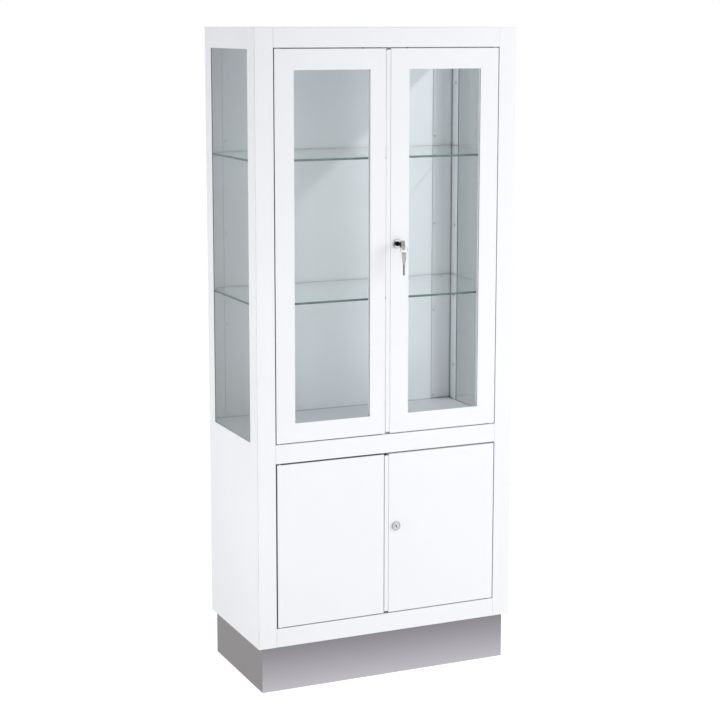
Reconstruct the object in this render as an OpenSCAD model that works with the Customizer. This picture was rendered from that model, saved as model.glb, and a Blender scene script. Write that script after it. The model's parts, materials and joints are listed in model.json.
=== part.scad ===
// Glazed medical cabinet: folded sheet-steel body on a recessed plinth, two glazed doors
// over two plain doors, glazed sides, glass shelves, cam locks and a key on a ring.
// X runs across the front, Y from the doors to the back, Z up from the floor.

/* [Body] */
// Width of the body across the front
body_w = 800; // [700:1:1000]
// Depth of the body from the door faces to the back
body_d = 400; // [340:1:520]
// Height of the body above the plinth
body_h = 1740; // [1620:1:1900]
// Thickness of the folded steel sheet
sheet_t = 1.2; // [0.9:0.1:1.5]

/* [Plinth] */
// Height of the plinth
plinth_h = 135; // [80:1:200]
// How far the plinth stands back at the front and the sides
plinth_recess = 15; // [8:1:30]
// How far the plinth stands back at the rear
plinth_back_recess = 3; // [1:1:12]
// Thickness of the plinth's stainless sheet
plinth_t = 1.5; // [1:0.1:2]
// Width of the plinth's folded-in edges
plinth_edge = 26; // [20:1:32]

/* [Posts and rails] */
// Face width of a front corner post
post_w = 54; // [46:1:70]
// Depth of the posts and rails
frame_d = 25; // [24.5:0.1:32]
// Width of the edge folded in at the back of a post
post_edge = 30; // [26:1:40]
// Face height of the top rail
top_rail_h = 55; // [40:1:80]
// Face height of the middle rail
middle_rail_h = 54; // [40:1:80]
// Face height of the bottom rail
bottom_rail_h = 54; // [40:1:80]
// Height of the lower door opening
lower_opening_h = 480; // [420:1:560]
// How far the door stop stands out of a rail
stop_h = 8; // [6:0.5:12]
// Width of a rear corner return
return_w = 54; // [46:1:70]
// Width of the set-in lap that the back panel is screwed to
lap_w = 13; // [11:1:18]
// Height of the edges folded down round the decks and the top
skirt_h = 24; // [18:1:30]

/* [Side windows] */
// Distance from the door face to the side window
window_front = 56; // [50:1:80]
// Distance from the side window to the back
window_rear = 50; // [46:1:80]
// Height of the side window's lower edge above the middle rail
window_lift = 1; // [0:1:20]
// Distance from the top of the upper opening down to the side window
window_drop = 4; // [0:1:20]
// Thickness of the side glass
side_glass_t = 4; // [3:0.5:5]
// How far glass laps behind the edge of its window
glass_lap = 10; // [8:0.5:11]
// Width of the glazing frame outside the side glass
bead_w = 8; // [7.5:0.5:9]
// Thickness of the glazing frame over the side glass
bead_t = 1.5; // [1:0.1:2]

/* [Shelves] */
// Thickness of a glass shelf
shelf_t = 6; // [5:0.5:8]
// Height of the upper glass shelf above the middle deck
upper_shelf_rise = 793; // [700:1:900]
// Height of the lower glass shelf above the middle deck
lower_shelf_rise = 394; // [250:1:500]
// Height of the steel shelf above the bottom deck
steel_shelf_rise = 240; // [150:1:320]
// Height of the steel shelf's folded edge
steel_shelf_edge = 18; // [12:1:25]
// Gap between a shelf's front edge and the posts
shelf_front_gap = 2; // [1:0.5:10]
// Gap between a shelf's rear edge and the back
shelf_rear_gap = 10; // [6:1:20]
// Gap at each end of a shelf
shelf_end_gap = 1.3; // [0.5:0.1:3]
// Distance of a shelf pin from the outer side face
pin_in = 38; // [34:1:44]
// Length of a shelf pin
pin_l = 20; // [16:1:26]
// Radius of a shelf pin
pin_r = 3; // [2.5:0.1:4]
// Thickness of the soft sleeve on a shelf pin
sleeve_t = 1; // [0.8:0.1:1.5]

/* [Doors] */
// Thickness of a door
door_t = 18; // [17:0.1:18.5]
// Gap round each door
door_gap = 3; // [2.5:0.1:4]
// Width of the lip that closes the gap between two doors
lip_w = 13.5; // [10:0.5:16]
// Gap between the lip and the left door
lip_gap = 2; // [1.5:0.1:3]
// How far the lip lies behind the door faces
lip_back = 1.5; // [1:0.1:3]
// How far the lip stops short of the door's ends
lip_short = 4; // [2:0.5:10]
// How far the upper lip's middle lies left of the cabinet's middle
lip_shift = 2.35; // [0:0.05:5]
// How far the lower lip's middle lies left of the cabinet's middle
lower_lip_shift = 4.65; // [0:0.05:7]
// Gap above the lower doors
lower_head_gap = 4.5; // [2.5:0.1:5]
// Gap beside the lower left door's hinge
lower_hinge_gap = 4.5; // [2.5:0.1:5]
// Width of the stile beside the hinge
hinge_stile_w = 56.5; // [48:0.5:70]
// Width of the left door's closing stile
left_stile_w = 47.9; // [46:0.1:70]
// Width of the right door's closing stile
right_stile_w = 56.6; // [54:0.1:70]
// Height of a glazed door's top rail
door_top_w = 57.5; // [48:0.5:70]
// Height of a glazed door's bottom rail
door_bottom_w = 54.5; // [48:0.5:70]
// Thickness of the door glass
door_glass_t = 4; // [3:0.5:5]
// Thickness of the glazing seal
seal_t = 0.8; // [0.5:0.1:1.2]
// Depth of the edge folded round the inner panel
inner_edge = 7; // [4:0.5:7.5]

/* [Pivots] */
// Distance of the pivot from the door's edge
pivot_in = 10; // [9:0.5:12]
// Distance of the pivot behind the door face
pivot_back = 5; // [4.8:0.1:5.2]
// Radius of the pivot pin
pivot_r = 2; // [1.6:0.1:2.2]
// Running clearance round the pivot pin
pivot_fit = 0.05; // [0.02:0.01:0.1]
// Wall of the pivot bush
bush_wall = 1.4; // [1:0.1:1.5]
// How deep the bush reaches into the door
bush_l = 9; // [6:0.5:12]
// Thickness of the bush's flange
bush_flange_t = 1; // [0.6:0.1:1.4]
// How far the bush's flange stands out from its barrel
bush_flange_w = 1.4; // [1:0.1:1.5]

/* [Locks] */
// Distance of the locks from the closing edge of the upper right door
lock_in = 19.6; // [18:0.1:22]
// Height of the upper lock above the foot of its door
upper_lock_rise = 545.5; // [400:0.5:700]
// Height of the lower lock above the foot of its door
lower_lock_rise = 257.5; // [150:0.5:380]
// Radius of the lock's face ring
ring_face_r = 14.5; // [12:0.5:15.5]
// How far the face ring stands out of the door
ring_face_t = 4.5; // [3:0.5:6]
// Radius of the lock's barrel
barrel_r = 9.5; // [9:0.5:10]
// How far the barrel stands out behind the door
barrel_back = 6; // [5:0.5:7.5]
// Radius of the turning plug
plug_r = 7; // [6:0.1:7.5]
// Running clearance round the plug
plug_fit = 0.06; // [0.02:0.01:0.1]
// Thickness of the lock's nut
nut_t = 5; // [3:0.5:6]
// Width across the flats of the lock's nut
nut_af = 23; // [22:0.5:25]
// Length of the cam beyond the plug's axis
cam_l = 46; // [40:1:52]
// Width of the cam
cam_w = 14; // [12:1:16]
// Thickness of the cam
cam_t = 2.5; // [1.5:0.1:3]
// Angle of the upper keyway from upright
upper_slot_turn = 0; // [0:1:30]
// Angle of the lower keyway from upright
lower_slot_turn = 30; // [0:1:40]

/* [Keys] */
// Thickness of a key
key_t = 2.2; // [1.8:0.1:2.6]
// Width of the key's blade
blade_w = 8; // [7:0.1:8.6]
// Length of the key's blade
blade_l = 32; // [28:0.5:35]
// How deep the key sits in the plug
key_depth = 18; // [15:0.5:21]
// Length of the key's bow
bow_l = 33.5; // [29:0.5:36]
// Greatest width of the key's bow
bow_w = 26; // [22:0.5:27]
// Radius of the hole in the bow
bow_hole_r = 2.6; // [2.2:0.1:3]
// Distance of the hole from the end of the bow
bow_hole_in = 5.5; // [5:0.1:7]
// Middle radius of the split ring
split_ring_r = 11; // [10:0.5:13]
// Radius of the split ring's wire
wire_r = 0.9; // [0.7:0.1:1.1]

/* [Bolts] */
// Radius of a door bolt
bolt_r = 2; // [1.8:0.1:2.2]
// Length of a door bolt
bolt_l = 90; // [80:1:110]
// Travel of a door bolt
bolt_travel = 15; // [12:0.5:18]
// Running clearance round a door bolt
bolt_fit = 0.08; // [0.03:0.01:0.1]
// Length of a bolt's guide
guide_l = 48; // [40:1:56]
// Width of a bolt's guide
guide_w = 15; // [12:0.5:18]
// Distance of a bolt from the closing edge of the left door
bolt_in = 25; // [16:1:30]

/* [Hidden] */

$fn = 48;

coat = [0.95, 0.955, 0.97];
stainless = [0.66, 0.66, 0.66];
steel = [0.78, 0.78, 0.77];
chrome = [0.82, 0.82, 0.83];
clear_glass = [0.72, 0.82, 0.82, 0.35];
rubber = [0.3, 0.31, 0.32];
nylon = [0.9, 0.9, 0.88];

// Small fits and margins
seam = 0.3;
seat = 0.3;
hole_fit = 0.1;
cut = 1;
half_t = sheet_t / 2;

// Levels above the floor
body_top = plinth_h + body_h;
lid_z = body_top - sheet_t;
floor_z = plinth_h + bottom_rail_h;
lower_top_z = floor_z + lower_opening_h;
deck_z = lower_top_z + middle_rail_h;
upper_top_z = body_top - top_rail_h;

// Places across and along the body
key_reach = ring_face_t + blade_l - key_depth + bow_l;
front_y = (key_reach - body_d) / 2;
half_w = body_w / 2;
inner_x = half_w - sheet_t;
jamb_x = half_w - post_w;
back_y = body_d - sheet_t;
lap_y = body_d - 2 * sheet_t;

// Side window
window_y0 = window_front;
window_y1 = body_d - window_rear;
window_z0 = deck_z + window_lift;
window_z1 = upper_top_z - window_drop;
lining_x = inner_x - side_glass_t - bead_t;

// Shelves
shelf_y0 = frame_d + shelf_front_gap;
shelf_y1 = body_d - shelf_rear_gap;
upper_shelf_z = deck_z + upper_shelf_rise;
lower_shelf_z = deck_z + lower_shelf_rise;
steel_shelf_z = floor_z + steel_shelf_rise;

// Doors, each as [left, right, foot, head]
left_edge_x = -(lip_w + lip_gap) / 2 - lip_shift;
right_edge_x = left_edge_x + lip_gap + lip_w;
leaf_x = jamb_x - door_gap;
upper_foot = deck_z + door_gap;
upper_head = upper_top_z - door_gap;
lower_foot = floor_z + door_gap;
lower_head = lower_top_z - lower_head_gap;
lower_left_edge_x = -(lip_w + lip_gap) / 2 - lower_lip_shift;
lower_right_edge_x = lower_left_edge_x + lip_gap + lip_w;
upper_left = [-leaf_x, left_edge_x, upper_foot, upper_head];
upper_right = [right_edge_x, leaf_x, upper_foot, upper_head];
lower_left = [-jamb_x + lower_hinge_gap, lower_left_edge_x, lower_foot, lower_head];
lower_right = [lower_right_edge_x, leaf_x, lower_foot, lower_head];
glass_z0 = upper_foot + door_bottom_w;
glass_z1 = upper_head - door_top_w;
left_window = [-leaf_x + hinge_stile_w, left_edge_x - left_stile_w, glass_z0, glass_z1];
right_window = [right_edge_x + right_stile_w, leaf_x - hinge_stile_w, glass_z0, glass_z1];
no_window = [];
seal_y0 = sheet_t;
seal_y1 = sheet_t + door_glass_t + 2 * seal_t;
seal_out = 1.5;
seal_in = 1.5;

// Pivots
pivot_x = leaf_x - pivot_in;
bush_r = pivot_r + pivot_fit + bush_wall;
bush_flange_r = bush_r + bush_flange_w;
pivot_head_t = 2;
pivot_head_r = pivot_r + 1.2;

// Locks
lock_x = right_edge_x + lock_in;
upper_lock_z = upper_foot + upper_lock_rise;
lower_lock_z = lower_foot + lower_lock_rise;
barrel_end = door_t + barrel_back;
cam_y = barrel_end + seat;
cam_tip_y = door_t + 0.6;
cam_bend = 12;
cam_hole_r = 3;
cam_boss_l = 1.5;
slot_w = key_t + 0.4;
slot_h = blade_w + 0.4;
slot_l = key_depth + 0.5;

// Keys
bow_corner = 4;
bow_root_w = blade_w + 3;
hole_y = bow_hole_in - key_reach;
wire_drop = (bow_hole_r - wire_r - seat) * cos(upper_slot_turn)
    - key_t / 2 * sin(upper_slot_turn);
wire_top_z = upper_lock_z - wire_drop;
wire_low_z = wire_top_z - 2 * split_ring_r;
spare_hole_z = wire_low_z + wire_r + seat - bow_hole_r;

// Bolts
bolt_x = left_edge_x - bolt_in;
bolt_y = door_t + bolt_r + 1.2;
bolt_end = 2;
guide_from_end = 32;
guide_h = bolt_r + 3.4;
thumb_r = 2.5;
thumb_l = 9;

// Everything is drawn with the door faces at Y = 0 and moved to its place by this module.
module placed() {
    translate([0, front_y, 0]) children();
}

// A block given by its low and high corners
module block(low, high) {
    translate(low) cube(high - low);
}

// A round bar along Y, Z or X from a point
module rod_y(p, r, l) {
    translate(p) rotate([-90, 0, 0]) cylinder(r = r, h = l);
}

module rod_z(p, r, l) {
    translate(p) cylinder(r = r, h = l);
}

module rod_x(p, r, l) {
    translate(p) rotate([0, 90, 0]) cylinder(r = r, h = l);
}

// One straight run of a folded sheet, seen end on
module run(a, b) {
    low = [min(a[0], b[0]), min(a[1], b[1])];
    high = [max(a[0], b[0]), max(a[1], b[1])];
    across = a[1] == b[1] ? [0, half_t] : [half_t, 0];
    translate(low - across) square(high - low + 2 * across);
}

// A folded sheet, seen end on, with its middle line through the points and round bends
module folded(points) {
    for (i = [0:len(points) - 2]) run(points[i], points[i + 1]);
    for (i = [1:len(points) - 2]) translate(points[i]) circle(r = half_t);
}

// A rail: its folded section drawn in Y and Z and carried across the opening
module rail(points) {
    l = 2 * (jamb_x - seam);
    translate([-l / 2, 0, 0]) rotate([90, 0, 90]) linear_extrude(l) folded(points);
}

// A flat tray with its edges folded down
module tray(low, high, edge) {
    difference() {
        block([low[0], low[1], high[2] - edge], high);
        block([low[0] + sheet_t, low[1] + sheet_t, high[2] - edge - cut],
            [high[0] - sheet_t, high[1] - sheet_t, high[2] - sheet_t]);
    }
}

// A rectangular frame standing in X and Z; win and out are [left, right, foot, head]
module ring_block(out, win, y0, y1) {
    difference() {
        block([out[0], y0, out[2]], [out[1], y1, out[3]]);
        block([win[0], y0 - cut, win[2]], [win[1], y1 + cut, win[3]]);
    }
}

function grown(w, d) = [w[0] - d, w[1] + d, w[2] - d, w[3] + d];

module plinth_flange(z) {
    x = half_w - plinth_recess;
    y1 = body_d - plinth_back_recess;
    difference() {
        block([-x, plinth_recess, z], [x, y1, z + plinth_t]);
        block([-x + plinth_edge, plinth_recess + plinth_edge, z - cut],
            [x - plinth_edge, y1 - plinth_edge, z + plinth_t + cut]);
    }
}

module plinth() color(stainless) placed() {
    x = half_w - plinth_recess;
    y1 = body_d - plinth_back_recess;
    difference() {
        union() {
            difference() {
                block([-x, plinth_recess, 0], [x, y1, plinth_h]);
                block([-x + plinth_t, plinth_recess + plinth_t, -cut],
                    [x - plinth_t, y1 - plinth_t, plinth_h + cut]);
            }
            plinth_flange(0);
            plinth_flange(plinth_h - plinth_t);
        }
        for (p = plinth_screws) rod_z([p[0], p[1], plinth_h - plinth_t - cut],
            screw_r + hole_fit, plinth_t + 2 * cut);
    }
}

// Screws: pan heads with a short plain shank
screw_r = 2;
screw_head_r = 3.6;
screw_head_t = 2;
screw_grip = 3;
plinth_screw_in = plinth_recess + plinth_edge * 0.6;
plinth_screws = [for (s = [-1, 1], f = [0.2, 0.5, 0.8])
    [s * (half_w - plinth_screw_in), frame_d + f * (body_d - frame_d)]];
lap_x = half_w - return_w - lap_w / 2;
back_screw_count = 7;
back_screws = [for (s = [-1, 1], i = [0:back_screw_count - 1])
    [s * lap_x, plinth_h + 60 + i * (body_h - 120) / (back_screw_count - 1)]];
bead_mid = glass_lap + bead_w / 2 + 0.5;
bead_screw_count = 5;
bead_screws = [for (y = [window_y0 - bead_mid, window_y1 + bead_mid],
    i = [0:bead_screw_count - 1])
    [y, window_z0 + (i + 0.5) * (window_z1 - window_z0) / bead_screw_count]];
bead_grip = side_glass_t + bead_t;

// Left side of the body: side skin, post, rear return and lap in one folded sheet
module side_panel() translate([-half_w, 0, 0]) difference() {
    union() {
        translate([0, 0, plinth_h]) linear_extrude(body_h - sheet_t) folded([
            [return_w + lap_w, lap_y + half_t],
            [return_w, lap_y + half_t],
            [return_w, body_d - half_t],
            [half_t, body_d - half_t],
            [half_t, half_t],
            [post_w - half_t, half_t],
            [post_w - half_t, frame_d - half_t],
            [post_w - half_t - post_edge, frame_d - half_t]]);
        block([half_t, frame_d, plinth_h],
            [plinth_recess + plinth_edge, lap_y - seam, plinth_h + sheet_t]);
    }
    block([-cut, window_y0, window_z0], [sheet_t + cut, window_y1, window_z1]);
    for (p = plinth_screws) rod_z([half_w - abs(p[0]), p[1], plinth_h - cut],
        screw_r + hole_fit, sheet_t + 2 * cut);
    for (p = back_screws) rod_y([half_w - abs(p[0]), lap_y - cut, p[1]],
        screw_r + hole_fit, sheet_t + 2 * cut);
    for (z = pin_levels) pin_holes(z);
}

// Shelf pins stand in the post's rear edge and in the rear return, at these levels
pin_drop = pin_r + sleeve_t + seat;
pin_levels = [upper_shelf_z - shelf_t - pin_drop, lower_shelf_z - shelf_t - pin_drop,
    steel_shelf_z - steel_shelf_edge - pin_drop];
pin_collar_t = 1.5;
pin_collar_r = pin_r + 1.5;
pin_stub_r = 2;

module pin_holes(z) {
    rod_y([pin_in, frame_d - sheet_t - cut, z], pin_stub_r + hole_fit, sheet_t + 2 * cut);
    rod_y([pin_in, back_y - cut, z], pin_stub_r + hole_fit, sheet_t + 2 * cut);
}

module left_side_panel() color(coat) placed() side_panel();
module right_side_panel() color(coat) placed() mirror([1, 0, 0]) side_panel();

module top_panel() color(coat) placed() {
    block([-half_w, 0, lid_z], [half_w, body_d, body_top]);
    tray([-inner_x, frame_d, 0], [inner_x, lap_y, lid_z + sheet_t / 2], skirt_h);
}

module back_panel() color(coat) placed() difference() {
    x = half_w - return_w - half_t - seam;
    block([-x, back_y, plinth_h], [x, body_d, lid_z]);
    for (p = back_screws) rod_y([p[0], back_y - cut, p[1]], screw_r + hole_fit,
        sheet_t + 2 * cut);
}

stop_y = frame_d - half_t;

// Holes through a rail's flat edge for the pivot pins and for the bolt
module rail_holes(z, bolt = true) {
    for (s = [-1, 1]) rod_z([s * pivot_x, pivot_back, z - cut], pivot_r + hole_fit / 2,
        sheet_t + 2 * cut);
    if (bolt) rod_z([bolt_x, bolt_y, z - cut], bolt_r + 4 * hole_fit, sheet_t + 2 * cut);
}

module top_rail() color(coat) placed() difference() {
    rail([[half_t, lid_z], [half_t, upper_top_z + half_t],
        [stop_y, upper_top_z + half_t], [stop_y, upper_top_z - stop_h]]);
    rail_holes(upper_top_z);
}

module middle_rail() color(coat) placed() difference() {
    rail([[stop_y, deck_z + stop_h], [stop_y, deck_z - half_t], [half_t, deck_z - half_t],
        [half_t, lower_top_z + half_t], [stop_y, lower_top_z + half_t],
        [stop_y, lower_top_z - stop_h]]);
    rail_holes(deck_z - sheet_t);
    rail_holes(lower_top_z);
}

module bottom_rail() color(coat) placed() difference() {
    rail([[stop_y, floor_z + stop_h], [stop_y, floor_z - half_t],
        [half_t, floor_z - half_t], [half_t, plinth_h + half_t],
        [plinth_recess + plinth_edge, plinth_h + half_t]]);
    rail_holes(floor_z - sheet_t);
}

module middle_deck() color(coat) placed() {
    tray([-lining_x, frame_d, 0], [lining_x, lap_y, deck_z], skirt_h);
}

module base_panel() color(coat) placed() {
    tray([-inner_x, frame_d, 0], [inner_x, lap_y, floor_z], skirt_h);
}

// Side glazing of the left side: the pane lies on the skin, held by a screwed frame
module side_pane() {
    block([-inner_x, window_y0 - glass_lap, window_z0 - glass_lap],
        [-inner_x + side_glass_t, window_y1 + glass_lap, window_z1 + glass_lap]);
}

module side_frame() {
    out = glass_lap + bead_w;
    difference() {
        block([-inner_x, window_y0 - out, window_z0 - out],
            [-lining_x, window_y1 + out, window_z1 + out]);
        block([-inner_x - cut, window_y0 - glass_lap - seam, window_z0 - glass_lap - seam],
            [-inner_x + side_glass_t, window_y1 + glass_lap + seam,
            window_z1 + glass_lap + seam]);
        block([-inner_x, window_y0, window_z0], [-lining_x + cut, window_y1, window_z1]);
        for (p = bead_screws) rod_x([-inner_x - cut, p[0], p[1]], screw_r + hole_fit,
            bead_grip + 2 * cut);
    }
}

module left_side_glass() color(clear_glass) placed() side_pane();
module right_side_glass() color(clear_glass) placed() mirror([1, 0, 0]) side_pane();
module left_glass_frame() color(coat) placed() side_frame();
module right_glass_frame() color(coat) placed() mirror([1, 0, 0]) side_frame();

module glass_shelf(z) {
    x = lining_x - shelf_end_gap;
    block([-x, shelf_y0, z - shelf_t], [x, shelf_y1, z]);
}

module upper_glass_shelf() color(clear_glass) placed() glass_shelf(upper_shelf_z);
module lower_glass_shelf() color(clear_glass) placed() glass_shelf(lower_shelf_z);

module steel_shelf() color(coat) placed() {
    x = inner_x - shelf_end_gap;
    tray([-x, shelf_y0, 0], [x, shelf_y1, steel_shelf_z], steel_shelf_edge);
}

// A shelf pin with its collar against a sheet, pointing along Y from the sheet's face
module shelf_pin() {
    rod_y([0, -sheet_t, 0], pin_stub_r, sheet_t + pin_collar_t);
    rod_y([0, 0, 0], pin_collar_r, pin_collar_t);
    rod_y([0, 0, 0], pin_r, pin_l);
}

module shelf_sleeve() difference() {
    rod_y([0, pin_collar_t, 0], pin_r + sleeve_t, pin_l - pin_collar_t);
    rod_y([0, 0, 0], pin_r, pin_l + cut);
}

// The four places of a pin at each level
module at_pins() {
    for (z = pin_levels, s = [-1, 1]) {
        translate([s * (half_w - pin_in), frame_d, z]) children();
        translate([s * (half_w - pin_in), back_y, z]) mirror([0, 1, 0]) children();
    }
}

module shelf_pins() color(steel) placed() at_pins() shelf_pin();
module shelf_sleeves() color(nylon) placed() at_pins() shelf_sleeve();

// A pivot pin pointing up, with its collar on the rail and its head below the sheet
module pivot_pin(shoulder) {
    rod_z([0, 0, -sheet_t - pivot_head_t], pivot_head_r, pivot_head_t);
    rod_z([0, 0, -sheet_t - pivot_head_t], pivot_r,
        sheet_t + pivot_head_t + door_gap + bush_l - 1);
    if (shoulder) rod_z([0, 0, 0], bush_r, door_gap - bush_flange_t - 0.1);
}

module pivot_pins() color(steel) placed() for (s = [-1, 1]) {
    for (z = [floor_z, deck_z]) translate([s * pivot_x, pivot_back, z]) pivot_pin(true);
    for (z = [lower_top_z, upper_top_z])
        translate([s * pivot_x, pivot_back, z]) mirror([0, 0, 1]) pivot_pin(false);
}

// Soft buffers on the door stops, near the closing edges
buffer_r = 3;
buffer_in = 60;
buffer_x = [left_edge_x - buffer_in, right_edge_x + buffer_in];
module door_buffers() color(rubber) placed()
    for (x = buffer_x, z = [floor_z + stop_h / 2 + 1, lower_top_z - stop_h / 2 - 1,
        deck_z + stop_h / 2 + 1, upper_top_z - stop_h / 2 - 1])
        rod_y([x, door_t + seat, z], buffer_r, frame_d - sheet_t - door_t - seat);

module screw(grip) {
    translate([0, 0, -screw_head_t]) cylinder(r = screw_head_r, h = screw_head_t);
    cylinder(r = screw_r, h = grip);
}

module body_screws() color(steel) placed() {
    for (p = plinth_screws) translate([p[0], p[1], plinth_h - plinth_t])
        screw(plinth_t + sheet_t + screw_grip);
    for (p = back_screws) translate([p[0], body_d, p[1]]) rotate([90, 0, 0])
        screw(2 * sheet_t + screw_grip);
    for (s = [-1, 1], p = bead_screws)
        translate([s * lining_x, p[0], p[1]]) rotate([0, s * 90, 0])
        screw(bead_grip);
}

// Door shell: front sheet with its edges folded back, and holes for the bushes
module door_shell(leaf, window, hinge_x) difference() {
    block([leaf[0], 0, leaf[2]], [leaf[1], door_t, leaf[3]]);
    block([leaf[0] + sheet_t, sheet_t, leaf[2] + sheet_t],
        [leaf[1] - sheet_t, door_t + cut, leaf[3] - sheet_t]);
    if (len(window) > 0) block([window[0], -cut, window[2]],
        [window[1], sheet_t + cut, window[3]]);
    for (z = [leaf[2], leaf[3] - sheet_t]) rod_z([hinge_x, pivot_back, z - cut], bush_r,
        sheet_t + 2 * cut);
}

// Inner panel: closes the back of the shell and, round a window, holds the glass
module door_inner(leaf, window) {
    out = grown(leaf, -sheet_t - seam / 3);
    difference() {
        block([out[0], door_t - inner_edge, out[2]], [out[1], door_t, out[3]]);
        block([out[0] + sheet_t, door_t - inner_edge - cut, out[2] + sheet_t],
            [out[1] - sheet_t, door_t - sheet_t, out[3] - sheet_t]);
        if (len(window) > 0) block([window[0] - seal_in, 0, window[2] - seal_in],
            [window[1] + seal_in, door_t + cut, window[3] + seal_in]);
    }
    if (len(window) > 0) ring_block(grown(window, seal_in + sheet_t),
        grown(window, seal_in), seal_y1, door_t);
}

module door_pane(window) {
    g = grown(window, glass_lap);
    block([g[0], seal_y0 + seal_t, g[2]], [g[1], seal_y0 + seal_t + door_glass_t, g[3]]);
}

// Channel seal round the edge of the pane
module door_seal(window) difference() {
    ring_block(grown(window, glass_lap + seal_out), grown(window, seal_in), seal_y0, seal_y1);
    g = grown(window, glass_lap);
    block([g[0], seal_y0 + seal_t, g[2]], [g[1], seal_y0 + seal_t + door_glass_t, g[3]]);
}

module bush() difference() {
    union() {
        rod_z([0, 0, -bush_flange_t], bush_flange_r, bush_flange_t);
        rod_z([0, 0, -bush_flange_t], bush_r, bush_flange_t + bush_l);
    }
    rod_z([0, 0, -bush_flange_t - cut], pivot_r + pivot_fit, bush_l + 2 * cut + bush_flange_t);
}

module door_bushes(leaf, hinge_x) {
    translate([hinge_x, pivot_back, leaf[2]]) bush();
    translate([hinge_x, pivot_back, leaf[3]]) mirror([0, 0, 1]) bush();
}

// Lip along the closing edge of a right door: an angle set a little behind the face
module door_lip(leaf) {
    z0 = leaf[2] + lip_short;
    z1 = leaf[3] - lip_short;
    block([leaf[0] - lip_w, lip_back, z0], [leaf[0], lip_back + sheet_t, z1]);
    block([leaf[0] - sheet_t, lip_back, z0], [leaf[0], door_t - 3, z1]);
}

module lock_hole(z, r) {
    rod_y([lock_x, -cut, z], r + hole_fit, door_t + 2 * cut);
}

module upper_left_door_shell() color(coat) placed()
    door_shell(upper_left, left_window, -pivot_x);
module upper_left_door_inner() color(coat) placed() door_inner(upper_left, left_window);
module upper_left_door_glass() color(clear_glass) placed() door_pane(left_window);
module upper_left_door_seal() color(rubber) placed() door_seal(left_window);
module upper_left_door_bushes() color(nylon) placed() door_bushes(upper_left, -pivot_x);

module upper_right_door_shell() color(coat) placed() difference() {
    door_shell(upper_right, right_window, pivot_x);
    lock_hole(upper_lock_z, barrel_r);
}
module upper_right_door_inner() color(coat) placed() difference() {
    door_inner(upper_right, right_window);
    lock_hole(upper_lock_z, barrel_r + 1);
}
module upper_right_door_glass() color(clear_glass) placed() door_pane(right_window);
module upper_right_door_seal() color(rubber) placed() door_seal(right_window);
module upper_right_door_bushes() color(nylon) placed() door_bushes(upper_right, pivot_x);
module upper_right_door_lip() color(coat) placed() door_lip(upper_right);

module lower_left_door_shell() color(coat) placed()
    door_shell(lower_left, no_window, -pivot_x);
module lower_left_door_inner() color(coat) placed() door_inner(lower_left, no_window);
module lower_left_door_bushes() color(nylon) placed() door_bushes(lower_left, -pivot_x);

module lower_right_door_shell() color(coat) placed() difference() {
    door_shell(lower_right, no_window, pivot_x);
    lock_hole(lower_lock_z, barrel_r);
}
module lower_right_door_inner() color(coat) placed() difference() {
    door_inner(lower_right, no_window);
    lock_hole(lower_lock_z, barrel_r + 1);
}
module lower_right_door_bushes() color(nylon) placed() door_bushes(lower_right, pivot_x);
module lower_right_door_lip() color(coat) placed() door_lip(lower_right);

// Lock barrel with its domed face ring, turned about Y; drawn along Z and laid over
module lock_barrel(z) translate([lock_x, 0, z]) rotate([-90, 0, 0]) {
    bore = plug_r + plug_fit;
    rotate_extrude() {
        polygon([[bore, -ring_face_t], [ring_face_r - 2.5, -ring_face_t],
            [ring_face_r - 0.8, -ring_face_t * 0.6], [ring_face_r, -0.6], [ring_face_r, 0],
            [bore, 0]]);
        translate([bore, -0.1]) square([barrel_r - bore, barrel_end + 0.1]);
    }
}

module lock_nut(z) difference() {
    translate([lock_x, sheet_t, z]) rotate([-90, 0, 0])
        cylinder(r = nut_af / 2 / cos(30), h = nut_t, $fn = 6);
    rod_y([lock_x, 0, z], barrel_r + hole_fit, sheet_t + nut_t + cut);
}

// Turning plug with its keyway in front and a boss for the cam behind
module lock_plug(z, turn) translate([lock_x, 0, z]) difference() {
    union() {
        rod_y([0, -ring_face_t, 0], plug_r, ring_face_t + cam_y);
        rod_y([0, cam_y - cut, 0], cam_hole_r, cut + cam_t);
    }
    rotate([0, -turn, 0]) block([-slot_w / 2, -ring_face_t - cut, -slot_h / 2],
        [slot_w / 2, slot_l - ring_face_t, slot_h / 2]);
    rod_y([0, cam_y - cam_boss_l, 0], 1.5, cam_boss_l + cam_t + cut);
}

// Cranked cam hanging straight down from the plug when the lock is open
module lock_cam(z) translate([lock_x, cam_y, z]) difference() {
    union() {
        rod_y([0, 0, 0], cam_w / 2, cam_t);
        block([-cam_w / 2, 0, -cam_bend], [cam_w / 2, cam_t, 0]);
        block([-cam_w / 2, cam_tip_y - cam_y, -cam_bend], [cam_w / 2, cam_t, cam_t - cam_bend]);
        block([-cam_w / 2, cam_tip_y - cam_y, -cam_l], [cam_w / 2, cam_tip_y - cam_y + cam_t,
            cam_t - cam_bend]);
    }
    rod_y([0, -cut, 0], cam_hole_r + hole_fit / 2, cam_t + 2 * cut);
}

module cam_screw(z) {
    rod_y([lock_x, cam_y + cam_t, z], 4.5, 2);
    rod_y([lock_x, cam_y - cam_boss_l + 0.2, z], 1.4, cam_boss_l + cam_t + cut);
}

// Points of a rounded corner
function corner(x, y, from) = [for (i = [0:4])
    [x + bow_corner * cos(from + i * 22.5), y + bow_corner * sin(from + i * 22.5)]];

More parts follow.
